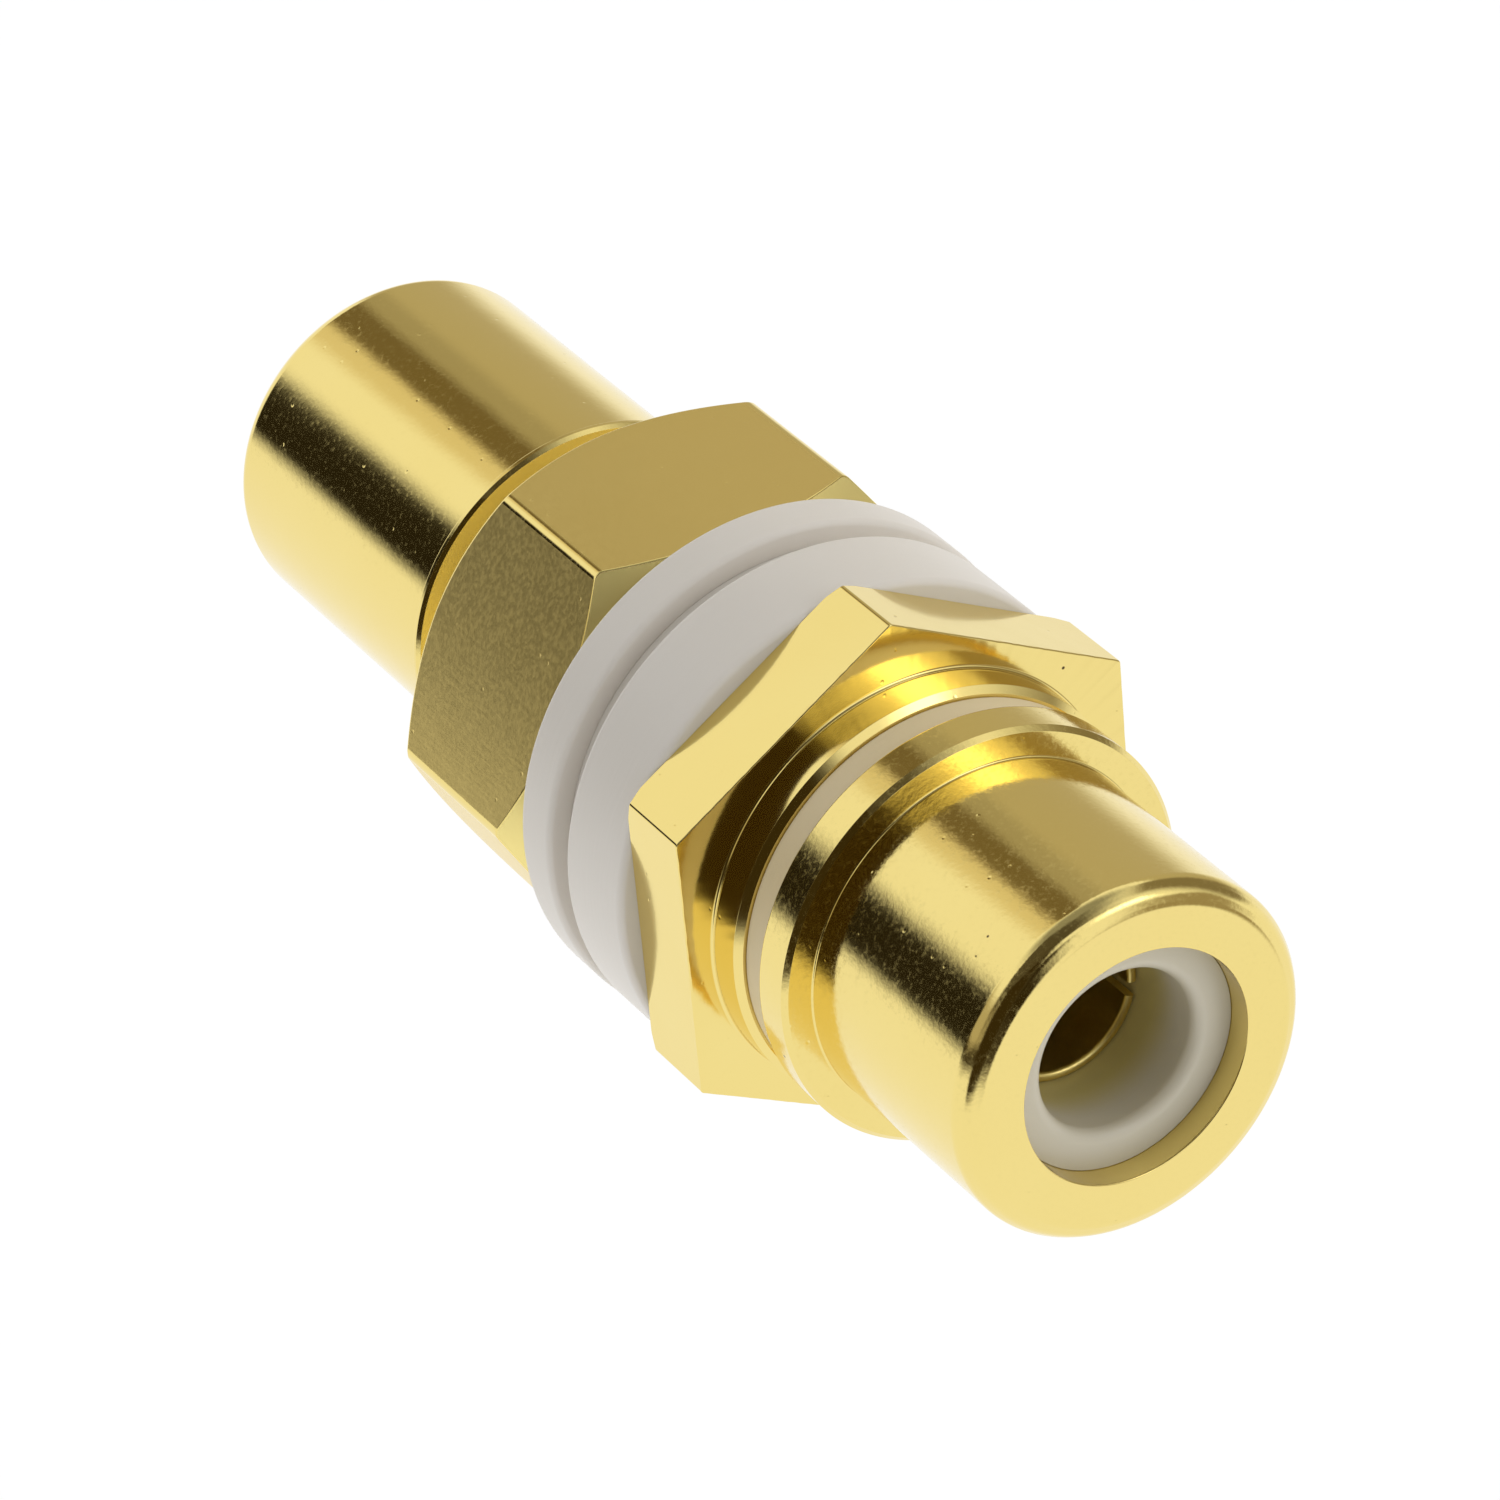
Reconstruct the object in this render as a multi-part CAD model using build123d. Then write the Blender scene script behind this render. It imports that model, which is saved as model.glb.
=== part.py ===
from build123d import *
import os
from math import cos, pi, radians, sin, tan

# A panel-mount phono coupler with a socket at each end.
# Millimetres. The part's axis lies along Y, and the front mouth looks towards -Y.
# Y = 0 is the front face of the flat washer, where the panel bears.

# Barrels that a phono plug slides over
barrel_radius = 4.15
barrel_bore_radius = 2.71
barrel_edge_round = 0.4

# Lengths along the axis, from the front face to the back
front_barrel_length = 5.7
flange_thickness = 0.98
colour_ring_thickness = 0.84
neck_length = 0.93
nut_thickness = 2.0
shoulder_washer_thickness = 2.25
shoulder_height = 0.63
flat_washer_thickness = 1.17
body_hex_length = 5.4
rear_neck_length = 1.8
rear_flange_thickness = 0.2
rear_barrel_length = 8.9

# Flange and colour ring behind the front barrel
flange_radius = 4.85
flange_edge_bevel = 0.11
colour_ring_radius = 4.65
colour_ring_clearance = 0.02
spigot_radius = 3.6
spigot_length = 5.0

# Threaded tube, drawn as a plain tube at the thread's root
thread_root_radius = 4.87
thread_depth = 0.23
neck_edge_bevel = 0.15
neck_bore_depth = 5.4
press_clearance = 0.01

# Hexagons, which share one size across the flats
nut_running_clearance = 0.03
nut_wall_at_flats = 0.575
nut_chamfer_angle = 30.0
nut_chamfer_depth = 0.12
nut_corner_round = 0.12
nut_turn_from_body = 30.0
body_chamfer_angle = 45.0
body_chamfer_depth = 0.9
body_corner_round = 0.35

# Undercut neck and thin flange between the body's hexagon and the rear barrel
rear_neck_radius = 3.75
rear_flange_radius = 4.45
rear_flange_bevel = 0.1

# Insulating washers; each width is from the bore outwards
washer_clearance = 0.08
shoulder_washer_width = 0.75
flat_washer_width = 0.79
shoulder_width = 0.27
washer_edge_round = 0.15

# Insulators
insulator_recess = 0.6
insulator_clearance = 0.01
insulator_hole_radius = 1.85
insulator_edge_bevel = 0.15

# Centre contact, a tube open and slotted at both ends
contact_recess = 2.7
contact_radius = 1.82
contact_bore_radius = 1.6
contact_bore_depth = 9.5
contact_mouth_bevel = 0.08
slot_width = 0.35
slot_length = 6.0
slots_per_end = 2
slot_angle = 12.0

# Radii that follow from the thread
nut_bore_radius = thread_root_radius + nut_running_clearance
across_flats = 2 * (nut_bore_radius + nut_wall_at_flats)
washer_bore_radius = thread_root_radius + thread_depth + washer_clearance

# Stations along the axis, counted from the front face
flange_start = front_barrel_length
ring_start = flange_start + flange_thickness
neck_start = ring_start + colour_ring_thickness
nut_start = neck_start + neck_length
shoulder_washer_start = nut_start + nut_thickness
shoulder_start = shoulder_washer_start + shoulder_washer_thickness
panel_face = shoulder_start + shoulder_height
hex_start = panel_face + flat_washer_thickness
rear_neck_start = hex_start + body_hex_length
rear_flange_start = rear_neck_start + rear_neck_length
rear_barrel_start = rear_flange_start + rear_flange_thickness
total_length = rear_barrel_start + rear_barrel_length
middle = total_length / 2


def y_of(station):
    """Y of a station along the axis."""
    return station - panel_face


def arc_round(corner_radius, corner_station, size, inward):
    """Quarter arc that rounds an outer corner; inward is 1 at a front corner and -1 at a rear one."""
    y = y_of(corner_station)
    centre = (corner_radius - size, y + inward * size)
    half = size * cos(pi / 4)
    middle_point = (centre[0] + half, centre[1] - inward * half)
    return ThreePointArc((centre[0], y), middle_point, (corner_radius, centre[1]))


def turned(inner, outer, start, end, front=("plain", 0.0), rear=("plain", 0.0)):
    """A turned ring between two stations, with its outer corners plain, bevelled or rounded."""
    sizes = []
    edges = []
    for kind, size in (front, rear):
        sizes.append(0.0 if kind == "plain" else size)
    front_size, rear_size = sizes
    y_start = y_of(start)
    y_end = y_of(end)
    edges.append(Line((inner, y_start), (outer - front_size, y_start)))
    if front[0] == "round":
        edges.append(arc_round(outer, start, front_size, 1))
    if front[0] == "bevel":
        edges.append(Line((outer - front_size, y_start), (outer, y_start + front_size)))
    edges.append(Line((outer, y_start + front_size), (outer, y_end - rear_size)))
    if rear[0] == "round":
        edges.append(arc_round(outer, end, rear_size, -1))
    if rear[0] == "bevel":
        edges.append(Line((outer, y_end - rear_size), (outer - rear_size, y_end)))
    edges.append(Line((outer - rear_size, y_end), (inner, y_end)))
    edges.append(Line((inner, y_end), (inner, y_start)))
    return revolve(make_face(edges), Axis.Y, 360)


def cone_envelope(start, end, depth, angle, front_chamfer, rear_chamfer):
    """Double cone that chamfers a hexagon's corners, as a turning tool does."""
    corner = across_flats / 2 / cos(pi / 6)
    drop = depth / tan(radians(angle))
    reach = corner + drop
    slope = reach - (corner - drop)
    y_start = y_of(start)
    y_end = y_of(end)
    points = [(0.0, y_start)]
    if front_chamfer:
        points += [(corner - drop, y_start), (reach, y_start + slope * tan(radians(angle)))]
    else:
        points += [(reach, y_start)]
    if rear_chamfer:
        points += [(reach, y_end - slope * tan(radians(angle))), (corner - drop, y_end)]
    else:
        points += [(reach, y_end)]
    points += [(0.0, y_end)]
    return revolve(make_face(Polyline(*points, close=True)), Axis.Y, 360)


def hexagon_prism(start, end, corner_round, turn):
    """Hexagonal bar along the axis with rounded corners; turn is measured from +X towards +Z."""
    plane = Plane(origin=(0, y_of(end), 0), x_dir=(1, 0, 0), z_dir=(0, -1, 0))
    outline = RegularPolygon(across_flats / 2, 6, major_radius=False, rotation=turn)
    outline = fillet(outline.vertices(), corner_round)
    return extrude(plane * outline, end - start)


def cylinder_between(radius, start, end):
    """Plain round bar between two stations."""
    return turned(0.0, radius, start, end)


def make_front_shell():
    """Front barrel, flange disc and the spigot that is pressed into the body."""
    barrel = turned(barrel_bore_radius, barrel_radius, 0.0, flange_start + flange_thickness,
                    front=("round", barrel_edge_round))
    flange = turned(barrel_bore_radius, flange_radius, flange_start, ring_start,
                    front=("bevel", flange_edge_bevel), rear=("bevel", flange_edge_bevel))
    spigot = turned(barrel_bore_radius, spigot_radius, flange_start, ring_start + spigot_length)
    return barrel + flange + spigot


def make_colour_ring():
    """Pale ring trapped between the flange and the neck."""
    bore = spigot_radius + colour_ring_clearance
    return turned(bore, colour_ring_radius, ring_start, neck_start)


def make_main_body():
    """Threaded tube, hexagon, undercut neck, thin flange and rear barrel, turned from one bar."""
    tube = turned(0.0, thread_root_radius, neck_start, hex_start + body_chamfer_depth,
                  front=("bevel", neck_edge_bevel))
    hexagon = hexagon_prism(hex_start, rear_neck_start, body_corner_round, 0.0)
    hexagon = hexagon & cone_envelope(hex_start, rear_neck_start, body_chamfer_depth,
                                      body_chamfer_angle, True, True)
    rear_neck = turned(0.0, rear_neck_radius, rear_neck_start - body_chamfer_depth,
                       rear_barrel_start)
    rear_flange = turned(0.0, rear_flange_radius, rear_flange_start, rear_barrel_start,
                         front=("bevel", rear_flange_bevel))
    barrel = turned(0.0, barrel_radius, rear_flange_start, total_length,
                    rear=("round", barrel_edge_round))
    body = tube + hexagon + rear_neck + rear_flange + barrel
    spigot_bore = cylinder_between(spigot_radius + press_clearance, neck_start - neck_length,
                                   neck_start + neck_bore_depth)
    through_bore = cylinder_between(barrel_bore_radius, neck_start - neck_length,
                                    total_length + neck_length)
    return body - spigot_bore - through_bore


def make_hex_nut():
    """Thin hexagon nut; its bore is drawn plain, just outside the thread's root."""
    end = shoulder_washer_start
    nut = hexagon_prism(nut_start, end, nut_corner_round, nut_turn_from_body)
    nut = nut & cone_envelope(nut_start, end, nut_chamfer_depth, nut_chamfer_angle, False, True)
    return nut - cylinder_between(nut_bore_radius, nut_start - nut_thickness, end + nut_thickness)


def make_shoulder_washer():
    """Washer under the nut, with a low shoulder that centres it in the panel's hole."""
    rim = turned(washer_bore_radius, washer_bore_radius + shoulder_washer_width,
                 shoulder_washer_start, shoulder_start,
                 front=("round", washer_edge_round), rear=("round", washer_edge_round))
    shoulder = turned(washer_bore_radius, washer_bore_radius + shoulder_width,
                      shoulder_washer_start + washer_edge_round, panel_face)
    return rim + shoulder


def make_flat_washer():
    """Flat washer between the panel and the body's hexagon."""
    return turned(washer_bore_radius, washer_bore_radius + flat_washer_width, panel_face, hex_start,
                  front=("round", washer_edge_round), rear=("round", washer_edge_round))


def make_insulator(start, end, front, rear):
    """Insulator that holds the centre contact in a barrel."""
    outer = barrel_bore_radius - insulator_clearance
    return turned(insulator_hole_radius, outer, start, end, front=front, rear=rear)


def make_contact_end(mouth, inward):
    """What is cut from one end of the contact; inward is 1 at the front end and -1 at the rear."""
    bore_end = mouth + inward * contact_bore_depth
    low, high = sorted((mouth - inward * contact_recess, bore_end))
    cut = cylinder_between(contact_bore_radius, low, high)
    slot_low, slot_high = sorted((mouth - inward * contact_recess, mouth + inward * slot_length))
    for index in range(slots_per_end):
        slot = Box(contact_radius * 2, slot_high - slot_low, slot_width,
                   align=(Align.MIN, Align.MIN, Align.CENTER))
        slot = Pos(0, y_of(slot_low), 0) * slot
        cut += Rot(0, slot_angle + index * 360.0 / slots_per_end, 0) * slot
    return cut


def make_centre_contact():
    """Centre contact: one bar bored and slotted from both ends."""
    front_mouth = contact_recess
    rear_mouth = total_length - contact_recess
    bar = turned(0.0, contact_radius, front_mouth, rear_mouth,
                 front=("bevel", contact_mouth_bevel), rear=("bevel", contact_mouth_bevel))
    return bar - make_contact_end(front_mouth, 1) - make_contact_end(rear_mouth, -1)


mouth_edge = ("bevel", insulator_edge_bevel)
plain_edge = ("plain", 0.0)

nodes = {
    "front_shell": make_front_shell(),
    "colour_ring": make_colour_ring(),
    "main_body": make_main_body(),
    "hex_nut": make_hex_nut(),
    "shoulder_washer": make_shoulder_washer(),
    "flat_washer": make_flat_washer(),
    "front_insulator": make_insulator(insulator_recess, middle, mouth_edge, plain_edge),
    "rear_insulator": make_insulator(middle, total_length - insulator_recess, plain_edge, mouth_edge),
    "centre_contact": make_centre_contact(),
}

os.makedirs("parts", exist_ok=True)
for name, shape in nodes.items():
    export_step(shape, f"parts/{name}.step")
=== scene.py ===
import math

import bmesh
import bpy
from mathutils import Matrix, Quaternion, Vector, noise


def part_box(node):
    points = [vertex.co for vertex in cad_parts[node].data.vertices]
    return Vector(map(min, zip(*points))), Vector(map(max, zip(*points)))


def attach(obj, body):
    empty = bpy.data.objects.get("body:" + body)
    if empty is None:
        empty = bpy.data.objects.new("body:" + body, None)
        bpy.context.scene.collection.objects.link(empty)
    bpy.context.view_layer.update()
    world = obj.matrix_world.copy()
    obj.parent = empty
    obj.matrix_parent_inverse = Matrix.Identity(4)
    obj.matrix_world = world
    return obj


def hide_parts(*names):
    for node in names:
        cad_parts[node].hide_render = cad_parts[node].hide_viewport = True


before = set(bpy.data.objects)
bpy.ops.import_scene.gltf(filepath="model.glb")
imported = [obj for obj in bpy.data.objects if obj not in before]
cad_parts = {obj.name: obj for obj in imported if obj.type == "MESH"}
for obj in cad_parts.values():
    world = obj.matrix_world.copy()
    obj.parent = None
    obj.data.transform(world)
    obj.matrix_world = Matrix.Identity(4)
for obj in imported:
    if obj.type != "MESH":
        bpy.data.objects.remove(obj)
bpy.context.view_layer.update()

MM = 0.001

# Camera, in degrees and metres, as fitted to the turned edges in the photograph
CAMERA_AZIMUTH = 28.413
CAMERA_ELEVATION = 33.931
CAMERA_ROLL = 5.588
CAMERA_DISTANCE = 159.71 * MM
CAMERA_TARGET = Vector((-0.141, 1.41, -0.1)) * MM
CAMERA_LENS = 177.62
SENSOR_WIDTH = 36.0

# Floor, in metres
FLOOR_HEIGHT = -0.03
FLOOR_HALF_WIDTH = 0.6
FLOOR_GLOW = 0.97

# Barrels; the mouth's outer edge is a shallow slope and then a round one
BARREL_RADIUS = 4.15 * MM
BARREL_BORE = 2.71 * MM
MOUTH_SLOPE_WIDTH = 0.28 * MM
MOUTH_SLOPE_DEPTH = 0.13 * MM
MOUTH_SLOPE_ROUND = 0.3 * MM
MOUTH_EDGE_WIDTH = 0.17 * MM
MOUTH_EDGE_DEPTH = 0.4 * MM
MOUTH_EDGE_ROUND = 0.4 * MM

# Flange, spigot and colour ring
FLANGE_THICKNESS = 0.98 * MM
FLANGE_BEVEL = 0.11 * MM
FLANGE_REAR_ROUND = 0.05 * MM
SPIGOT_RADIUS = 3.6 * MM
SPIGOT_CLEARANCE = 0.01 * MM
RING_CLEARANCE = 0.02 * MM
RING_ROUND = 0.05 * MM

# Neck and hexagon of the body; pieces of one turned bar run into each other by the overlap
OVERLAP = 0.5 * MM
NECK_RADIUS = 4.87 * MM
NECK_BEVEL_DEPTH = 0.12 * MM
NECK_BEVEL_WIDTH = 0.16 * MM
HEX_LENGTH = 5.4 * MM
HEX_CHAMFER = 0.9 * MM
HEX_LEAST_CHAMFER = 0.02 * MM
HEX_END_ROUND = 0.06 * MM
HEX_SIDE_ROUND = 0.1 * MM
HEX_CORNER_ROUND = 0.28 * MM
HEX_CROWN = 0.1 * MM

# Rear neck and the thin flange in front of the rear barrel
REAR_NECK_RADIUS = 3.75 * MM
REAR_NECK_LENGTH = 1.8 * MM
REAR_FLANGE_RADIUS = 4.45 * MM
REAR_FLANGE_THICKNESS = 0.2 * MM
REAR_FLANGE_BEVEL = 0.08 * MM
REAR_FLANGE_ROUND = 0.03 * MM

# Nut; its bore has a fine lip at the front, and its front edge a fine burr that leans forward by a
# share of its height
NUT_TURN = 30.0
NUT_CHAMFER = 0.12 * MM
NUT_LEAST_CHAMFER = 0.004 * MM
NUT_LEAST_REAR_STEP = 0.03 * MM
NUT_CHAMFER_SLOPE = math.tan(math.radians(30))
NUT_CORNER_ROUND = 0.1 * MM
NUT_LIP_RADIUS = 4.874 * MM
NUT_LIP_FILLET = 0.07 * MM
NUT_LIP_LENGTH = 0.25 * MM
BURR_HEIGHT = 0.011 * MM
BURR_LENGTH = 0.1 * MM
BURR_LEAN = 0.5
BURRS_PER_MM = 5.0

# Thread under the nut; the sink and the least height are shares of the ridge's height
THREAD_PITCH = 0.5 * MM
THREAD_CREST = 5.08 * MM
THREAD_FOOT_WIDTH = 0.3 * MM
THREAD_TOP_WIDTH = 0.06 * MM
THREAD_SINK = 0.15
THREAD_FADE_TURNS = 0.4
THREAD_LEAST_HEIGHT = 0.02
THREAD_LIP_GAP = 0.1 * MM
THREAD_REAR_GAP = 0.05 * MM
NUT_THREAD_ROOT = 5.12 * MM
NUT_THREAD_CREST = 4.93 * MM

# Washers
WASHER_BORE = 5.18 * MM
SHOULDER_RADIUS = 5.45 * MM
SHOULDER_HEIGHT = 0.63 * MM
SHOULDER_WASHER_FRONT_ROUND = 0.16 * MM
SHOULDER_WASHER_REAR_ROUND = 0.14 * MM
FLAT_WASHER_FRONT_ROUND = 0.14 * MM
FLAT_WASHER_REAR_ROUND = 0.12 * MM

# Insulators and centre contact; the slots' directions are in degrees from +X towards +Z
INSULATOR_CLEARANCE = 0.002 * MM
INSULATOR_HOLE = 1.85 * MM
INSULATOR_HOLE_ROUND = 0.28 * MM
INSULATOR_EDGE_ROUND = 0.02 * MM
CONTACT_BORE = 1.6 * MM
CONTACT_BORE_DEPTH = 9.5 * MM
CONTACT_CORE_HOLE = 0.02 * MM
CONTACT_TIP_ROUND = 0.09 * MM
SLOT_WIDTH = 0.35 * MM
SLOT_LENGTH = 6.0 * MM
SLOT_DIRECTIONS = (348.0, 168.0)

# Mesh fineness
STEPS_AROUND = 224
STEPS_PER_THREAD_TURN = 72
HEX_FLAT_STEPS = 14
NUT_FLAT_STEPS = 44
CORNER_STEPS = 8
ARC_STEPS = 5
WIDE_ARC_STEPS = 10
WIDE_ROUND = 0.1 * MM
EDGE_BREAK = 0.025 * MM
INNER_CORNER = 0.05 * MM
FINE_ROUND = 0.003 * MM
SUPPORT = 0.012 * MM

# The most of a side that a round and its support point may take, and where the support line of a
# hexagon's corner and of the burr lie, as multiples of the corner's half angle and the burr's length
ROUND_SHARE = 0.42
SUPPORT_SHARE = 0.3
CORNER_SUPPORT = 1.12
BURR_SUPPORT = 1.3

# Angle between the middle of a hexagon's side and its corner
HALF_SIDE = math.pi / 6


# Meshes

def round_corners(corners):
    """Closed outline from (radius, y, round) corners, with arcs and support points beside each arc."""
    points = []
    count = len(corners)
    for index, (radius, y, size) in enumerate(corners):
        here = Vector((radius, y))
        if size == 0.0:
            points.append(here)
            continue
        steps = WIDE_ARC_STEPS if size >= WIDE_ROUND else ARC_STEPS
        before = Vector(corners[index - 1][:2]) - here
        after = Vector(corners[(index + 1) % count][:2]) - here
        bend = before.angle(after)
        reach = size / math.tan(bend / 2)
        limit = ROUND_SHARE * min(before.length, after.length)
        if reach > limit:
            reach = limit
            size = reach * math.tan(bend / 2)
        middle = (before.normalized() + after.normalized()).normalized()
        centre = here + middle * (size / math.sin(bend / 2))
        first = here + before.normalized() * reach
        last = here + after.normalized() * reach
        extra = min(SUPPORT, SUPPORT_SHARE * (min(before.length, after.length) - reach))
        points.append(first + before.normalized() * extra)
        start = first - centre
        sweep = start.angle_signed(last - centre)
        for step in range(steps + 1):
            turned = start.copy()
            turned.rotate(Matrix.Rotation(-sweep * step / steps, 2))
            points.append(centre + turned)
        points.append(last + after.normalized() * extra)
    return points


def mouth_edge(y, inward):
    """Corners of a barrel's soft outer edge, from its face to its side; inward is 1 or -1 along Y."""
    return [
        (BARREL_RADIUS - MOUTH_EDGE_WIDTH - MOUTH_SLOPE_WIDTH, y, MOUTH_SLOPE_ROUND),
        (BARREL_RADIUS - MOUTH_EDGE_WIDTH, y + inward * MOUTH_SLOPE_DEPTH, MOUTH_EDGE_ROUND),
        (BARREL_RADIUS, y + inward * MOUTH_EDGE_DEPTH, MOUTH_EDGE_ROUND),
    ]


def around(point, angle):
    """A profile point turned about the Y axis; the angle runs from +X towards +Z."""
    return (point[0] * math.cos(angle), point[1], point[0] * math.sin(angle))


def grid_mesh(name, rows, closed_round):
    """Mesh from rows of points. Each row is a closed loop. The rows meet end to end, or are capped."""
    across = len(rows[0])
    down = len(rows)
    vertices = []
    for row in rows:
        vertices.extend(row)
    faces = []
    for i in range(down if closed_round else down - 1):
        k = (i + 1) % down
        for j in range(across):
            n = (j + 1) % across
            faces.append((i * across + j, i * across + n, k * across + n, k * across + j))
    if not closed_round:
        faces.append(tuple(reversed(range(across))))
        faces.append(tuple((down - 1) * across + j for j in range(across)))
    mesh = bpy.data.meshes.new(name)
    mesh.from_pydata(vertices, [], faces)
    mesh.validate()
    return mesh


def finish_mesh(mesh, sharp_degrees=None):
    """Outward normals and smooth shading, apart from edges that bend more than the sharp angle."""
    work = bmesh.new()
    work.from_mesh(mesh)
    bmesh.ops.recalc_face_normals(work, faces=work.faces)
    work.to_mesh(mesh)
    work.free()
    mesh.shade_smooth()
    if sharp_degrees is not None:
        mesh.set_sharp_from_angle(angle=math.radians(sharp_degrees))


def lathe(name, corners, start=0.0, end=360.0):
    """Turned ring from a closed profile, whole or between two angles."""
    outline = round_corners(corners)
    whole = end - start >= 360.0
    steps = max(4, round(STEPS_AROUND * (end - start) / 360.0))
    rows = []
    for step in range(steps if whole else steps + 1):
        angle = math.radians(start + (end - start) * step / steps)
        rows.append([around(point, angle) for point in outline])
    mesh = grid_mesh(name, rows, whole)
    finish_mesh(mesh, None if whole else 50)
    return mesh


def hexagon_angles(apothem, corner_round, turn, flat_steps, crown=0.0):
    """Angles round a hexagon with slightly crowned flats, with the outline's radius at each."""
    centre = (apothem - corner_round) / math.cos(HALF_SIDE)
    tangent = math.atan2(corner_round * 0.5, centre + corner_round * math.cos(HALF_SIDE))
    beside = tangent * CORNER_SUPPORT
    half_flat = apothem * math.tan(HALF_SIDE)
    offsets = []
    for step in range(flat_steps):
        offsets.append(-HALF_SIDE + (HALF_SIDE - beside) * step / flat_steps)
    offsets.append(-beside)
    for step in range(CORNER_STEPS + 1):
        offsets.append(-tangent + 2 * tangent * step / CORNER_STEPS)
    for step in range(flat_steps):
        offsets.append(beside + (HALF_SIDE - beside) * step / flat_steps)
    result = []
    for corner in range(6):
        for offset in offsets:
            size = abs(offset)
            if size < tangent:
                radius = centre * math.cos(size)
                radius += math.sqrt(corner_round ** 2 - (centre * math.sin(size)) ** 2)
            else:
                radius = apothem / math.cos(HALF_SIDE - size)
            across = radius * math.sin(HALF_SIDE - size) / half_flat
            radius -= crown * across * across
            result.append((math.radians(turn + 60 * corner) + offset, radius))
    return result


def hexagon_mesh(name, angles, corners_at):
    """Hexagonal ring; corners_at gives the closed profile for an outline radius and an angle."""
    rows = []
    for angle, radius in angles:
        outline = round_corners(corners_at(radius, angle))
        rows.append([around(point, angle) for point in outline])
    mesh = grid_mesh(name, rows, True)
    finish_mesh(mesh)
    return mesh


def helix_mesh(name, y_start, y_end, foot, crest, phase):
    """Right-handed helical ridge that fades in and out over its end turns."""
    turns = abs(y_end - y_start) / THREAD_PITCH
    count = int(STEPS_PER_THREAD_TURN * turns)
    fade_steps = STEPS_PER_THREAD_TURN * THREAD_FADE_TURNS
    half_foot = THREAD_FOOT_WIDTH / 2
    half_top = THREAD_TOP_WIDTH / 2
    sink = foot - (crest - foot) * THREAD_SINK
    rows = []
    for step in range(count + 1):
        angle = 2 * math.pi * step / STEPS_PER_THREAD_TURN
        y = y_end - THREAD_PITCH * step / STEPS_PER_THREAD_TURN
        fade = min(1.0, step / fade_steps, (count - step) / fade_steps)
        top = foot + (crest - foot) * max(fade, THREAD_LEAST_HEIGHT)
        profile = [(sink, y - half_foot), (foot, y - half_foot), (top, y - half_top),
                   (top, y + half_top), (foot, y + half_foot), (sink, y + half_foot)]
        rows.append([around(point, angle + phase) for point in profile])
    mesh = grid_mesh(name, rows, False)
    finish_mesh(mesh, 35)
    return mesh


# Shader nodes; a value or colour that a function takes may also be another node's socket

NEUTRAL = (1.0, 1.0, 1.0)


def feed(tree, socket, value):
    """Links another node's socket to this one, or sets it to a number or a colour."""
    if isinstance(value, bpy.types.NodeSocket):
        tree.links.new(value, socket)
    elif isinstance(value, (int, float)):
        socket.default_value = value
    else:
        socket.default_value = (*value, 1)


def math_node(tree, operation, *values):
    """Result of a math operation."""
    node = tree.nodes.new("ShaderNodeMath")
    node.operation = operation
    for index, value in enumerate(values):
        feed(tree, node.inputs[index], value)
    return node.outputs["Value"]


def split_xyz(tree, vector):
    """Outputs X, Y and Z of a vector."""
    node = tree.nodes.new("ShaderNodeSeparateXYZ")
    feed(tree, node.inputs["Vector"], vector)
    return node.outputs


def scaled(tree, vector, scale):
    """Vector scaled along each axis."""
    node = tree.nodes.new("ShaderNodeMapping")
    node.inputs["Scale"].default_value = scale
    feed(tree, node.inputs["Vector"], vector)
    return node.outputs["Vector"]


def noise_node(tree, vector, scale, detail=2.0, roughness=0.5):
    """Noise texture with a scale in features per millimetre."""
    node = tree.nodes.new("ShaderNodeTexNoise")
    node.inputs["Scale"].default_value = scale
    node.inputs["Detail"].default_value = detail
    node.inputs["Roughness"].default_value = roughness
    feed(tree, node.inputs["Vector"], vector)
    return node.outputs["Fac"]


def ramp_between(tree, value, low, high, out_low, out_high):
    """Value between two limits, eased to another range and held at its ends."""
    node = tree.nodes.new("ShaderNodeMapRange")
    node.interpolation_type = "SMOOTHSTEP"
    node.inputs["From Min"].default_value = low
    node.inputs["From Max"].default_value = high
    node.inputs["To Min"].default_value = out_low
    node.inputs["To Max"].default_value = out_high
    feed(tree, node.inputs["Value"], value)
    return node.outputs["Result"]


def window(tree, value, low, high, soft_low, soft_high):
    """1 between two limits and 0 outside, with soft edges."""
    rise = ramp_between(tree, value, low - soft_low / 2, low + soft_low / 2, 0.0, 1.0)
    fall = ramp_between(tree, value, high - soft_high / 2, high + soft_high / 2, 1.0, 0.0)
    return math_node(tree, "MULTIPLY", rise, fall)


def mix_colours(tree, factor, first, second):
    """Mix of two colours by a factor."""
    node = tree.nodes.new("ShaderNodeMix")
    node.data_type = "RGBA"
    feed(tree, node.inputs["Factor"], factor)
    feed(tree, node.inputs["A"], first)
    feed(tree, node.inputs["B"], second)
    return node.outputs["Result"]


def bump(tree, height, distance, normal=None):
    """Bump whose distance is in millimetres; a negative distance sinks in."""
    node = tree.nodes.new("ShaderNodeBump")
    node.invert = distance < 0
    node.inputs["Distance"].default_value = abs(distance) * MM
    feed(tree, node.inputs["Height"], height)
    if normal is not None:
        feed(tree, node.inputs["Normal"], normal)
    return node.outputs["Normal"]


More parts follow.
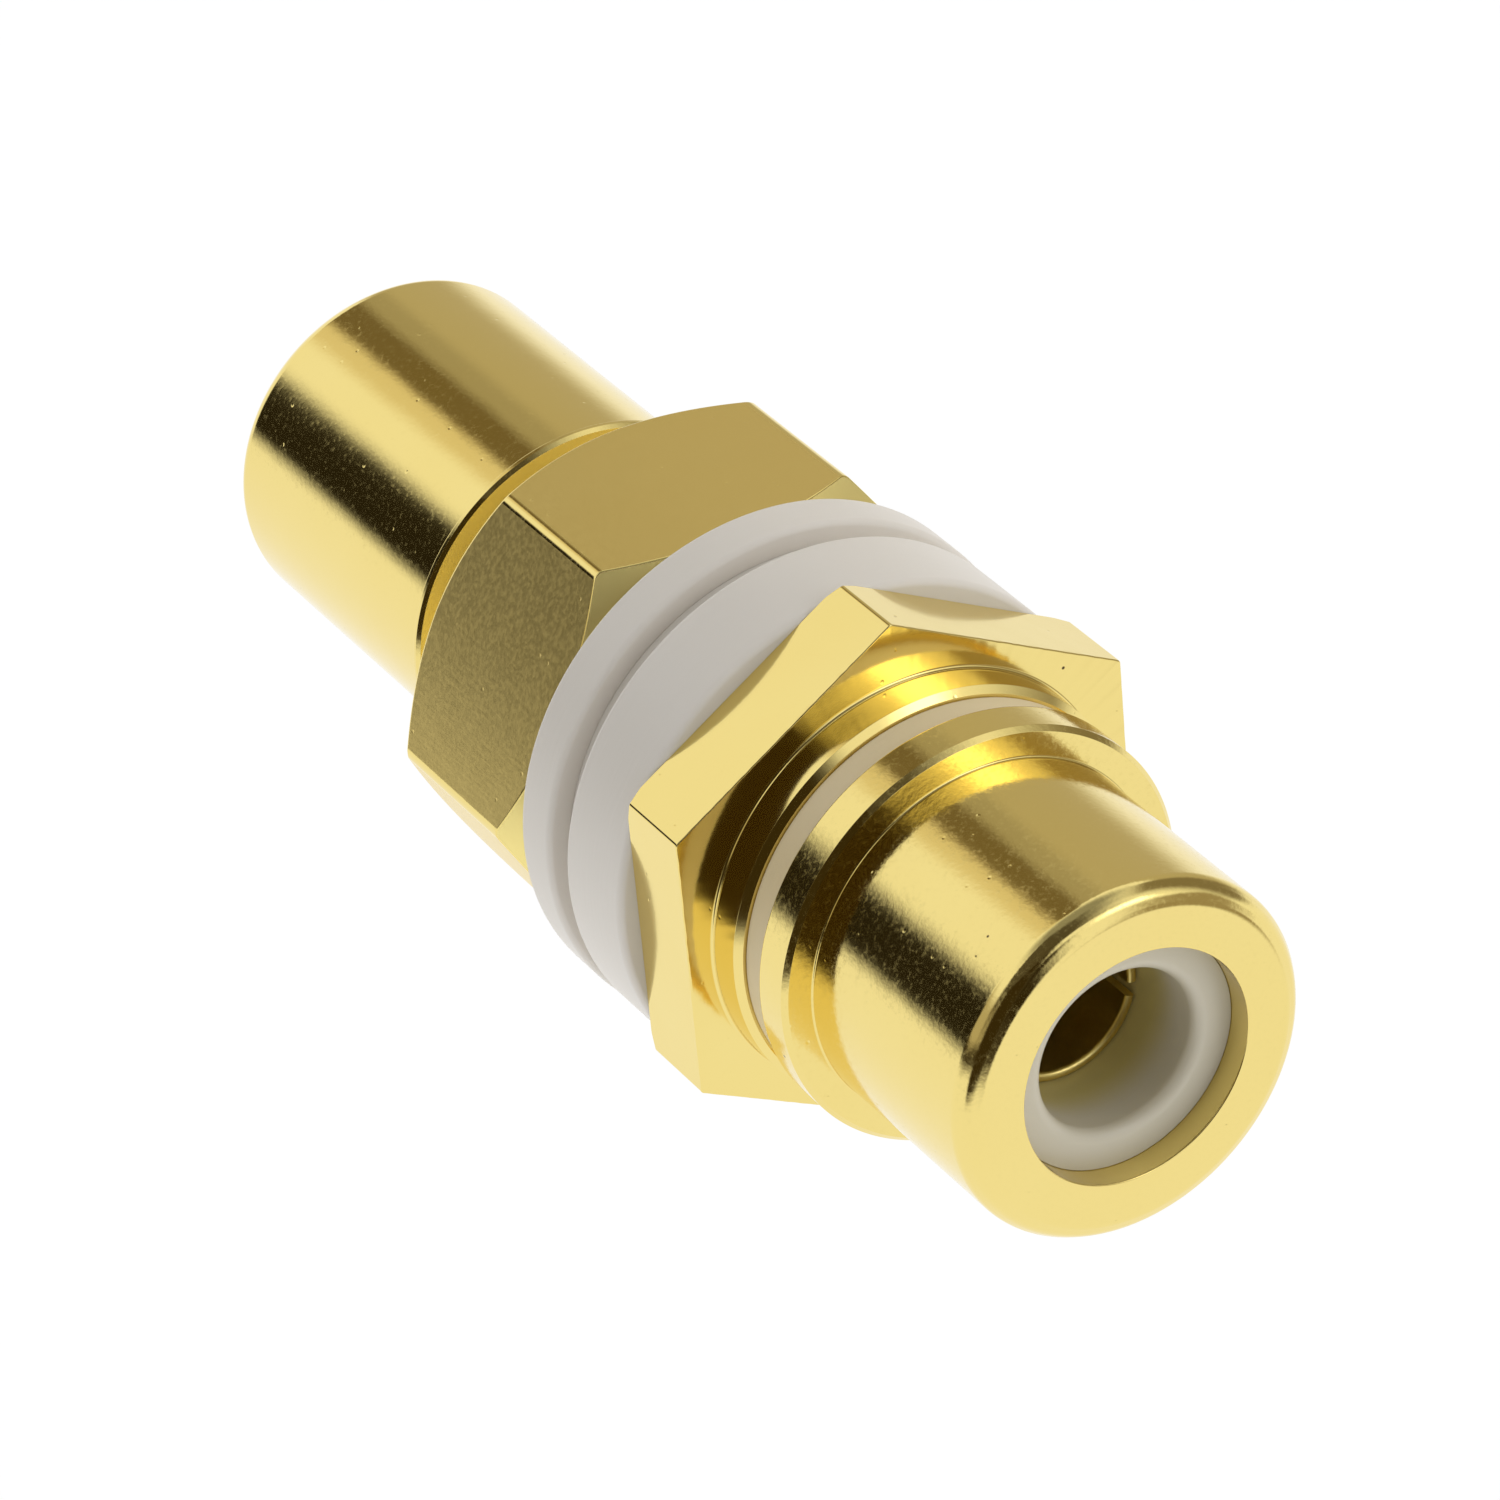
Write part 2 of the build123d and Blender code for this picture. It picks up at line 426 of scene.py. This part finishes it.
def dots(tree, vector, scale, radius, soft, share):
    """1 inside scattered round dots and 0 outside, with the radius and the soft edge as shares of a
    cell, and the share of the cells that hold a dot."""
    cells = tree.nodes.new("ShaderNodeTexVoronoi")
    cells.inputs["Scale"].default_value = scale
    feed(tree, cells.inputs["Vector"], vector)
    inside = ramp_between(tree, cells.outputs["Distance"], radius, radius + soft, 1.0, 0.0)
    split = tree.nodes.new("ShaderNodeSeparateColor")
    feed(tree, split.inputs["Color"], cells.outputs["Color"])
    chosen = math_node(tree, "LESS_THAN", split.outputs["Red"], share)
    return math_node(tree, "MULTIPLY", inside, chosen)


def new_material(name):
    """Material with its node tree, its Principled shader, and its object's place in millimetres."""
    material = bpy.data.materials.new(name)
    material.use_nodes = True
    tree = material.node_tree
    place = tree.nodes.new("ShaderNodeTexCoord").outputs["Object"]
    return material, tree, tree.nodes["Principled BSDF"], scaled(tree, place, (1 / MM, 1 / MM, 1 / MM))


# Gold plate. Scales are in features per millimetre, and bump heights in millimetres.

GOLD = (0.885, 0.722, 0.27)
GOLD_DEEP = (0.875, 0.7, 0.245)
GOLD_SHIFT_SCALE = 0.35
SPECK_COLOUR = (0.1, 0.07, 0.03)
SPECK_SCALE = 0.8
SPECK_SOFTNESS = 0.02
PIT_SCALE = 2.5
PIT_SOFTNESS = 0.12
PIT_HEIGHT = -0.004
DOT_RADIUS = 0.02
DOT_SHARE = 0.3
WAVE_SCALE = 0.9
WAVE_HEIGHT = 0.005
GRAIN_SCALE = 9.0
PATCH_EDGE = 0.2
STREAK_SCALE = 12.0
STREAK_STRETCH = (1.0, 0.12, 1.0)


def gold(name, roughness, patch_start, grain, streaks=0.0, tone=NEUTRAL, metallic=1.0):
    """Gold plate over brass: slow waviness, fine grain, duller patches, rare specks, pits and streaks.
    Roughness is outside and inside the patches, which grow as patch_start falls. Grain and streaks are
    bump heights. The tone multiplies the colour, and a lower metallic scatters more of the light."""
    material, tree, shader, place = new_material(name)
    shader.inputs["Metallic"].default_value = metallic
    shift = noise_node(tree, place, GOLD_SHIFT_SCALE)
    light, deep = [[a * b for a, b in zip(colour, tone)] for colour in (GOLD, GOLD_DEEP)]
    plate = mix_colours(tree, shift, light, deep)
    specks = dots(tree, place, SPECK_SCALE, DOT_RADIUS, SPECK_SOFTNESS, DOT_SHARE)
    feed(tree, shader.inputs["Base Color"], mix_colours(tree, specks, plate, SPECK_COLOUR))
    patches = noise_node(tree, place, GRAIN_SCALE, 4.0, 0.65)
    gloss = ramp_between(tree, patches, patch_start, patch_start + PATCH_EDGE, *roughness)
    feed(tree, shader.inputs["Roughness"], gloss)
    normal = bump(tree, noise_node(tree, place, WAVE_SCALE, 1.0), WAVE_HEIGHT)
    normal = bump(tree, noise_node(tree, place, GRAIN_SCALE), grain, normal)
    pits = dots(tree, place, PIT_SCALE, DOT_RADIUS, PIT_SOFTNESS, DOT_SHARE)
    normal = bump(tree, pits, PIT_HEIGHT, normal)
    if streaks:
        lines = noise_node(tree, scaled(tree, place, STREAK_STRETCH), STREAK_SCALE, 1.0)
        normal = bump(tree, lines, streaks, normal)
    feed(tree, shader.inputs["Normal"], normal)
    return material


# Plastic. The insulators' painted shade and painted reflection of the gold starts and is full this far
# inside a mouth, in millimetres.

MOUTH_SHADE_START = 0.6
MOUTH_SHADE_END = 1.6
PLASTIC_SHIFT_SCALE = 0.5
TURNED_MARK_SCALE = 1.5
TURNED_MARK_STRETCH = (0.6, 6.0, 0.6)
TURNED_MARK_HEIGHT = 0.006


def pale_plastic(name, colour, shade, roughness, deep=None, mouths=None):
    """Off-white moulded plastic, slightly translucent. Deep is a painted shade and painted reflection of
    the gold, darker and browner inside the two mouths, whose places along Y are given with it."""
    material, tree, shader, place = new_material(name)
    shader.inputs["Roughness"].default_value = roughness
    shader.inputs["IOR"].default_value = 1.5
    shader.inputs["Subsurface Weight"].default_value = 0.12
    shader.inputs["Subsurface Scale"].default_value = 0.4 * MM
    shader.inputs["Subsurface Radius"].default_value = (1.0, 0.9, 0.8)
    base = mix_colours(tree, noise_node(tree, place, PLASTIC_SHIFT_SCALE, 3.0), colour, shade)
    if deep is not None:
        front, rear = mouths
        middle = (front + rear) / 2 / MM
        reach = (rear - front) / 2 / MM
        offset = math_node(tree, "SUBTRACT", split_xyz(tree, place)["Y"], middle)
        from_middle = math_node(tree, "ABSOLUTE", offset)
        # Painted shade and painted gold reflection: the colour turns darker and browner deeper inside
        # each mouth
        mouth_shade = ramp_between(tree, from_middle, reach - MOUTH_SHADE_END, reach - MOUTH_SHADE_START, 1.0, 0.0)
        base = mix_colours(tree, mouth_shade, base, deep)
    feed(tree, shader.inputs["Base Color"], base)
    marks = noise_node(tree, scaled(tree, place, TURNED_MARK_STRETCH), TURNED_MARK_SCALE, 3.0, 0.6)
    feed(tree, shader.inputs["Normal"], bump(tree, marks, TURNED_MARK_HEIGHT))
    return material


# World: cards round the object, in degrees, as azimuth from and to, elevation from and to, the
# softness of those four edges, brightness and tint. Each card covers those before it.

CREAM = (1.0, 0.9, 0.71)
WARM = (1.0, 0.85, 0.62)
TAN = (1.0, 0.77, 0.42)
BROWN = (1.0, 0.68, 0.22)
CARDS = {
    "overhead": ((-200, 200, 62, 120), (24, 24, 24, 24), 0.3, NEUTRAL),
    "right_wall": ((17, 96, 1, 44), (8, 8, 20, 8), 0.51, CREAM),
    "right_end": ((12, 27, 29, 48), (8, 8, 8, 8), 0.4, CREAM),
    "right_front": ((78, 119, -3, 55), (16, 34, 10, 14), 0.24, WARM),
    "low_right_front": ((122, 154, -26, 8.5), (10, 10, 16, 10), 0.36, WARM),
    "beside_gap": ((-16, 4, 31, 58), (9, 5, 8, 8), 0.8, CREAM),
    "gap": ((-4, 15, 31, 58), (8, 7, 7, 7), 0.18, TAN),
    "upper_left": ((-118, -50, 4, 34), (14, 10, 8, 14), 0.5, CREAM),
    "left_wall": ((-58, -31, -3, 24.8), (10, 9, 9, 10), 0.02, TAN),
    "low_left_wall": ((-120, -50, -3, 9), (9, 9, 9, 8), 0.05, TAN),
    "high_behind": ((154, 250, 43.5, 75), (60, 8, 6, 8), 0.09, WARM),
    "behind_camera": ((-171, -110, -20, 47), (13, 13, 10, 13), 0.04, BROWN),
    "behind_right": ((-184, -166, -20, 27), (12, 8, 10, 12), 0.03, BROWN),
    "lamp": ((140, 160, 19, 36), (12, 16, 14, 8), 2.8, NEUTRAL),
}

# Light on matt surfaces: the share of the cards' colours in it, with plain white for the rest, and
# its level, which rises towards the right
DIFFUSE_SHARE = 0.7
DIFFUSE_LEVEL = 1.1
DIFFUSE_FROM_RIGHT = 0.48


def angle_nodes(tree):
    """Azimuth and elevation of a direction, in degrees, and its X; azimuth 0 is +Y and 90 is +X."""
    direction = split_xyz(tree, tree.nodes.new("ShaderNodeTexCoord").outputs["Generated"])
    azimuth = math_node(tree, "ARCTAN2", direction["X"], direction["Y"])
    elevation = math_node(tree, "ARCSINE", direction["Z"])
    return (math_node(tree, "MULTIPLY", azimuth, 180 / math.pi),
            math_node(tree, "MULTIPLY", elevation, 180 / math.pi),
            direction["X"])


def mirrored_cards(tree, azimuth, elevation):
    """Colour of the white surround and its cards, as the gold mirrors them."""
    mirrored = NEUTRAL
    for limits, softness, brightness, tint in CARDS.values():
        az_low, az_high, el_low, el_high = limits
        centre = (az_low + az_high) / 2
        half = (az_high - az_low) / 2
        offset = math_node(tree, "SUBTRACT", azimuth, centre)
        relative = math_node(tree, "WRAP", offset, 180.0, -180.0)
        inside_az = window(tree, relative, -half, half, *softness[:2])
        inside_el = window(tree, elevation, el_low, el_high, *softness[2:])
        inside = math_node(tree, "MULTIPLY", inside_az, inside_el)
        mirrored = mix_colours(tree, inside, mirrored, [brightness * channel for channel in tint])
    return mirrored


def background(tree, colour, strength):
    """Background shader."""
    node = tree.nodes.new("ShaderNodeBackground")
    feed(tree, node.inputs["Color"], colour)
    feed(tree, node.inputs["Strength"], strength)
    return node.outputs["Background"]


def make_world():
    """Surround of cards for the gold, softer light for matt surfaces, and plain white for the camera."""
    world = bpy.data.worlds.new("studio")
    bpy.context.scene.world = world
    world.cycles.sampling_method = "NONE"
    world.use_nodes = True
    tree = world.node_tree
    tree.nodes.clear()
    azimuth, elevation, towards_right = angle_nodes(tree)
    mirrored = mirrored_cards(tree, azimuth, elevation)
    softened = mix_colours(tree, 1.0 - DIFFUSE_SHARE, mirrored, NEUTRAL)
    soft_light = math_node(tree, "MULTIPLY_ADD", towards_right, DIFFUSE_FROM_RIGHT, DIFFUSE_LEVEL)
    path = tree.nodes.new("ShaderNodeLightPath")
    light = background(tree, mirrored, 1.0)
    other_rays = (("Is Diffuse Ray", softened, soft_light),
                  ("Is Camera Ray", NEUTRAL, 1.0))
    for ray, colour, strength in other_rays:
        mix = tree.nodes.new("ShaderNodeMixShader")
        feed(tree, mix.inputs["Fac"], path.outputs[ray])
        feed(tree, mix.inputs[1], light)
        feed(tree, mix.inputs[2], background(tree, colour, strength))
        light = mix.outputs["Shader"]
    output = tree.nodes.new("ShaderNodeOutputWorld")
    feed(tree, output.inputs["Surface"], light)


def make_floor():
    """Plain white floor under the object; the gold mirrors the white surround instead of it."""
    size = FLOOR_HALF_WIDTH
    corners = [(-size, -size), (size, -size), (size, size), (-size, size)]
    mesh = bpy.data.meshes.new("floor")
    mesh.from_pydata([(x, y, FLOOR_HEIGHT) for x, y in corners], [], [(0, 1, 2, 3)])
    floor = bpy.data.objects.new("floor", mesh)
    bpy.context.scene.collection.objects.link(floor)
    material = bpy.data.materials.new("floor_white")
    material.use_nodes = True
    shader = material.node_tree.nodes["Principled BSDF"]
    shader.inputs["Base Color"].default_value = (0.05, 0.05, 0.05, 1)
    shader.inputs["Roughness"].default_value = 1.0
    shader.inputs["Specular IOR Level"].default_value = 0.0
    shader.inputs["Emission Color"].default_value = (*NEUTRAL, 1)
    shader.inputs["Emission Strength"].default_value = FLOOR_GLOW
    mesh.materials.append(material)
    floor.visible_glossy = False


def make_camera():
    """Camera at the photograph's viewing angle."""
    azimuth = math.radians(CAMERA_AZIMUTH)
    elevation = math.radians(CAMERA_ELEVATION)
    forward = Vector((math.sin(azimuth) * math.cos(elevation),
                      math.cos(azimuth) * math.cos(elevation),
                      -math.sin(elevation)))
    data = bpy.data.cameras.new("camera")
    data.lens = CAMERA_LENS
    data.sensor_width = SENSOR_WIDTH
    data.clip_start = 0.005
    data.clip_end = 10.0
    camera = bpy.data.objects.new("camera", data)
    camera.location = CAMERA_TARGET - forward * CAMERA_DISTANCE
    camera.rotation_mode = "QUATERNION"
    roll = Quaternion((0, 0, 1), -math.radians(CAMERA_ROLL))
    camera.rotation_quaternion = forward.to_track_quat("-Z", "Y") @ roll
    bpy.context.scene.collection.objects.link(camera)
    bpy.context.scene.camera = camera


make_camera()
make_world()
bpy.context.scene.view_settings.view_transform = "Standard"

# Boxes of the frame's nodes
shell_low, shell_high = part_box("front_shell")
ring_low, ring_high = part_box("colour_ring")
body_low, body_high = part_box("main_body")
nut_low, nut_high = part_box("hex_nut")
shoulder_low, shoulder_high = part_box("shoulder_washer")
flat_low, flat_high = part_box("flat_washer")
front_insulator_low, front_insulator_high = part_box("front_insulator")
rear_insulator_low, rear_insulator_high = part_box("rear_insulator")
contact_low, contact_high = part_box("centre_contact")

# Sizes and stations along Y that follow from them
flange_radius = shell_high.x
flange_start = ring_low.y - FLANGE_THICKNESS
hex_start = flat_high.y
rear_neck_start = hex_start + HEX_LENGTH
rear_flange_start = rear_neck_start + REAR_NECK_LENGTH
rear_barrel_start = rear_flange_start + REAR_FLANGE_THICKNESS
panel_face = flat_low.y
nut_lip_end = nut_low.y + NUT_LIP_LENGTH
nut_across = nut_high.x
body_across = body_high.z
contact_radius = contact_high.x

# Materials
gold_barrel = gold("gold_barrel", roughness=(0.11, 0.23), patch_start=0.48, grain=0.0018)
gold_body = gold("gold_body", roughness=(0.09, 0.2), patch_start=0.5, grain=0.0012)
gold_hexagon = gold("gold_hexagon", roughness=(0.275, 0.325), patch_start=0.42, grain=0.0014,
                    streaks=0.001, tone=(1.0, 0.965, 0.9))
# Turned gold for chamfers, ends and the rear groove: rougher and less metallic, with its colour painted
# lighter and paler as painted light
gold_turned_lit = gold("gold_turned_lit", roughness=(0.36, 0.42), patch_start=0.45, grain=0.001,
                   tone=(1.12, 1.17, 1.25), metallic=0.72)
gold_nut = gold("gold_nut", roughness=(0.11, 0.115), patch_start=0.5, grain=0.0005)
gold_contact = gold("gold_contact", roughness=(0.32, 0.45), patch_start=0.45, grain=0.001)
washer_plastic = pale_plastic("washer_plastic", (0.8, 0.76, 0.7), (0.77, 0.73, 0.67), 0.42)
ring_plastic = pale_plastic("ring_plastic", (0.83, 0.7, 0.45), (0.8, 0.665, 0.41), 0.4)
# Off-white plastic like the washers', painted darker and warmer here: painted shade of the recesses and
# painted reflection of the gold round it
insulator_plastic = pale_plastic("insulator_plastic", (0.61, 0.57, 0.46), (0.59, 0.55, 0.44), 0.35,
                                 deep=(0.58, 0.5, 0.21),
                                 mouths=(front_insulator_low.y, rear_insulator_high.y))

# Order of the hexagon's materials, how far in degrees a flat's normals may lean round the axis, and
# how much of the axis is in the normal of a side at most, and of a chamfer or an end at least
ON_FLAT, ON_RIDGE, ON_TURNED_LIT = range(3)
FLAT_SPREAD = 4.0
SIDE_FACING = 0.1
END_FACING = 0.6


def add_piece(name, mesh, body, materials, replaced=()):
    """Puts a mesh into the scene as a piece that rides on a body."""
    for material in materials:
        mesh.materials.append(material)
    piece = bpy.data.objects.new(name, mesh)
    bpy.context.scene.collection.objects.link(piece)
    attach(piece, body)
    if replaced:
        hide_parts(*replaced)


def make_front_shell():
    """Front barrel, flange and the spigot inside the body."""
    mesh = lathe("front_shell_skin", [
        (BARREL_BORE, shell_low.y, EDGE_BREAK),
        *mouth_edge(shell_low.y, 1),
        (BARREL_RADIUS, flange_start, INNER_CORNER),
        (flange_radius - FLANGE_BEVEL, flange_start, FINE_ROUND),
        (flange_radius, flange_start + FLANGE_BEVEL, FINE_ROUND),
        (flange_radius, ring_low.y, FLANGE_REAR_ROUND),
        (SPIGOT_RADIUS, ring_low.y, EDGE_BREAK),
        (SPIGOT_RADIUS, shell_high.y, EDGE_BREAK),
        (BARREL_BORE, shell_high.y, EDGE_BREAK),
    ])
    add_piece("front_shell_skin", mesh, "shell", [gold_barrel], ["front_shell"])


def make_neck():
    """Smooth neck at the front of the body, with the thread behind it."""
    bore = SPIGOT_RADIUS + SPIGOT_CLEARANCE
    neck = lathe("body_neck", [
        (bore, body_low.y, EDGE_BREAK),
        (NECK_RADIUS - NECK_BEVEL_WIDTH, body_low.y, FINE_ROUND),
        (NECK_RADIUS, body_low.y + NECK_BEVEL_DEPTH, FINE_ROUND),
        (NECK_RADIUS, hex_start + OVERLAP, EDGE_BREAK),
        (bore, hex_start + OVERLAP, EDGE_BREAK),
    ])
    add_piece("body_neck", neck, "shell", [gold_nut], ["main_body"])
    ridge = helix_mesh("body_thread", nut_lip_end + THREAD_LIP_GAP, hex_start,
                       NECK_RADIUS, THREAD_CREST, 0.0)
    add_piece("body_thread", ridge, "shell", [gold_body])


def mark_flats(mesh):
    """Chooses each face's material: on a flat, on a ridge, or the turned gold with painted light at a
    chamfer or an end.
    """
    for face in mesh.polygons:
        direction = math.degrees(math.atan2(face.normal.z, face.normal.x))
        lean = abs((direction % 60) - 30)
        along = abs(face.normal.y)
        if along > END_FACING:
            face.material_index = ON_TURNED_LIT
        elif lean < FLAT_SPREAD and along < SIDE_FACING:
            face.material_index = ON_FLAT
        else:
            face.material_index = ON_RIDGE


def make_hexagon():
    """The body's hexagon, chamfered at both ends."""
    face_radius = body_across / math.cos(HALF_SIDE) - HEX_CHAMFER
    inner = BARREL_RADIUS - OVERLAP

    def hexagon_profile(radius, angle):
        """The same at every angle; the chamfer's width follows from the radius."""
        drop = max(radius - face_radius, HEX_LEAST_CHAMFER)
        return [
            (inner, hex_start, EDGE_BREAK),
            (radius - drop, hex_start, HEX_END_ROUND),
            (radius, hex_start + drop, HEX_SIDE_ROUND),
            (radius, rear_neck_start - drop, HEX_SIDE_ROUND),
            (radius - drop, rear_neck_start, HEX_END_ROUND),
            (inner, rear_neck_start, EDGE_BREAK),
        ]

    angles = hexagon_angles(body_across, HEX_CORNER_ROUND, 0.0, HEX_FLAT_STEPS, HEX_CROWN)
    hexagon = hexagon_mesh("body_hexagon", angles, hexagon_profile)
    add_piece("body_hexagon", hexagon, "shell", [gold_hexagon, gold_body, gold_turned_lit])
    mark_flats(hexagon)


def make_rear():
    """Rear neck, thin flange and rear barrel; the groove in front of the barrel gets the turned gold
    with painted light.
    """
    rear = lathe("body_rear", [
        (BARREL_BORE, rear_neck_start - OVERLAP, EDGE_BREAK),
        (REAR_NECK_RADIUS, rear_neck_start - OVERLAP, EDGE_BREAK),
        (REAR_NECK_RADIUS, rear_flange_start, INNER_CORNER),
        (REAR_FLANGE_RADIUS - REAR_FLANGE_BEVEL, rear_flange_start, FINE_ROUND),
        (REAR_FLANGE_RADIUS, rear_flange_start + REAR_FLANGE_BEVEL, FINE_ROUND),
        (REAR_FLANGE_RADIUS, rear_barrel_start, REAR_FLANGE_ROUND),
        (BARREL_RADIUS, rear_barrel_start, INNER_CORNER),
        *reversed(mouth_edge(body_high.y, -1)),
        (BARREL_BORE, body_high.y, EDGE_BREAK),
    ])
    add_piece("body_rear", rear, "shell", [gold_body, gold_turned_lit])
    for face in rear.polygons:
        face.material_index = 1 if face.center.y < rear_flange_start + FINE_ROUND else 0


def make_nut():
    """Hexagon nut with burred front edges, a fine lip round the neck and its inner thread."""
    chamfer_start = nut_across / math.cos(HALF_SIDE) - NUT_CHAMFER / NUT_CHAMFER_SLOPE
    lip = []
    for step in range(ARC_STEPS + 1):
        turn = math.pi / 2 * step / ARC_STEPS
        lip.append((NUT_LIP_RADIUS + NUT_LIP_FILLET * (1 - math.cos(turn)),
                    nut_low.y - NUT_LIP_FILLET * (1 - math.sin(turn)), 0.0))

    def nut_profile(radius, angle):
        """From the lip out to the burred edge, and back along the chamfered rear to the bore."""
        where = Vector((math.cos(angle), math.sin(angle), 0.0)) * radius / MM
        burr = BURR_HEIGHT * noise.noise(where * BURRS_PER_MM)
        drop = max(radius - chamfer_start, 0.0)
        rear_edge = nut_high.y - max(drop * NUT_CHAMFER_SLOPE, NUT_LEAST_CHAMFER)
        rear_radius = min(radius - NUT_LEAST_REAR_STEP, chamfer_start)
        return lip + [
            (NUT_LIP_RADIUS + NUT_LIP_FILLET + SUPPORT, nut_low.y, 0.0),
            (radius + burr, nut_low.y + burr * BURR_LEAN, EDGE_BREAK),
            (radius, nut_low.y + BURR_LENGTH, 0.0),
            (radius, nut_low.y + BURR_LENGTH * BURR_SUPPORT, 0.0),
            (radius, rear_edge, EDGE_BREAK),
            (rear_radius, nut_high.y, EDGE_BREAK),
            (NUT_THREAD_ROOT, nut_high.y, EDGE_BREAK),
            (NUT_THREAD_ROOT, nut_lip_end, EDGE_BREAK),
            (NUT_LIP_RADIUS, nut_lip_end, EDGE_BREAK),
        ]

    angles = hexagon_angles(nut_across, NUT_CORNER_ROUND, NUT_TURN, NUT_FLAT_STEPS)
    nut = hexagon_mesh("hex_nut_skin", angles, nut_profile)
    add_piece("hex_nut_skin", nut, "nut", [gold_nut], ["hex_nut"])
    ridge = helix_mesh("nut_thread", nut_lip_end + THREAD_LIP_GAP, nut_high.y - THREAD_REAR_GAP,
                       NUT_THREAD_ROOT, NUT_THREAD_CREST, math.pi)
    add_piece("nut_thread", ridge, "nut", [gold_nut])


def make_shoulder_washer():
    """Washer under the nut, with the low shoulder that sits in the panel's hole."""
    rim_end = panel_face - SHOULDER_HEIGHT
    mesh = lathe("shoulder_washer_skin", [
        (WASHER_BORE, shoulder_low.y, EDGE_BREAK),
        (shoulder_high.x, shoulder_low.y, SHOULDER_WASHER_FRONT_ROUND),
        (shoulder_high.x, rim_end, SHOULDER_WASHER_REAR_ROUND),
        (SHOULDER_RADIUS, rim_end, INNER_CORNER),
        (SHOULDER_RADIUS, shoulder_high.y, EDGE_BREAK),
        (WASHER_BORE, shoulder_high.y, EDGE_BREAK),
    ])
    add_piece("shoulder_washer_skin", mesh, "washer", [washer_plastic],
              ["shoulder_washer"])


def make_flat_washer():
    """Flat washer against the body's hexagon."""
    mesh = lathe("flat_washer_skin", [
        (WASHER_BORE, flat_low.y, EDGE_BREAK),
        (flat_high.x, flat_low.y, FLAT_WASHER_FRONT_ROUND),
        (flat_high.x, flat_high.y, FLAT_WASHER_REAR_ROUND),
        (WASHER_BORE, flat_high.y, EDGE_BREAK),
    ])
    add_piece("flat_washer_skin", mesh, "shell", [washer_plastic], ["flat_washer"])


def make_ring():
    """Pale ring behind the flange."""
    bore = SPIGOT_RADIUS + RING_CLEARANCE
    mesh = lathe("colour_ring_skin", [
        (bore, ring_low.y, EDGE_BREAK),
        (ring_high.x, ring_low.y, RING_ROUND),
        (ring_high.x, ring_high.y, RING_ROUND),
        (bore, ring_high.y, EDGE_BREAK),
    ])
    add_piece("colour_ring_skin", mesh, "shell", [ring_plastic], ["colour_ring"])


def make_insulator(node, mouth, inner_end):
    """Insulator between its mouth face and its inner end."""
    outer = BARREL_BORE - INSULATOR_CLEARANCE
    mesh = lathe(f"{node}_skin", [
        (INSULATOR_HOLE, mouth, INSULATOR_HOLE_ROUND),
        (outer, mouth, INSULATOR_EDGE_ROUND),
        (outer, inner_end, EDGE_BREAK),
        (INSULATOR_HOLE, inner_end, EDGE_BREAK),
    ])
    add_piece(f"{node}_skin", mesh, "shell", [insulator_plastic], [node])


def make_contact():
    """Centre contact: a solid middle, and at each end a sleeve that is slotted into fingers."""
    front_floor = contact_low.y + CONTACT_BORE_DEPTH
    rear_floor = contact_high.y - CONTACT_BORE_DEPTH
    half_slot = math.degrees(SLOT_WIDTH / 2 / contact_radius)

    def tube(name, inner, start, end, front_round, start_angle=0.0, end_angle=360.0):
        """Tube between two stations, with its edges at the first one rounded."""
        return lathe(name, [
            (inner, start, front_round),
            (contact_radius, start, front_round),
            (contact_radius, end, EDGE_BREAK),
            (inner, end, EDGE_BREAK),
        ], start_angle, end_angle)

    parts = [tube("contact_core", CONTACT_CORE_HOLE, front_floor, rear_floor, EDGE_BREAK)]
    for mouth, inward, floor in ((contact_low.y, 1, front_floor), (contact_high.y, -1, rear_floor)):
        slot_end = mouth + inward * SLOT_LENGTH
        parts.append(tube("contact_sleeve", CONTACT_BORE, slot_end, floor, EDGE_BREAK))
        for direction in SLOT_DIRECTIONS:
            following = direction + 360.0 / len(SLOT_DIRECTIONS)
            parts.append(tube("contact_finger", CONTACT_BORE, mouth, slot_end, CONTACT_TIP_ROUND,
                              direction + half_slot, following - half_slot))
    for index, mesh in enumerate(parts):
        replaced = ["centre_contact"] if index == 0 else ()
        add_piece(f"contact_{index}", mesh, "shell", [gold_contact], replaced)


make_front_shell()
make_neck()
make_hexagon()
make_rear()
make_nut()
make_shoulder_washer()
make_flat_washer()
make_ring()
make_insulator("front_insulator", front_insulator_low.y, front_insulator_high.y)
make_insulator("rear_insulator", rear_insulator_high.y, rear_insulator_low.y)
make_contact()
make_floor()
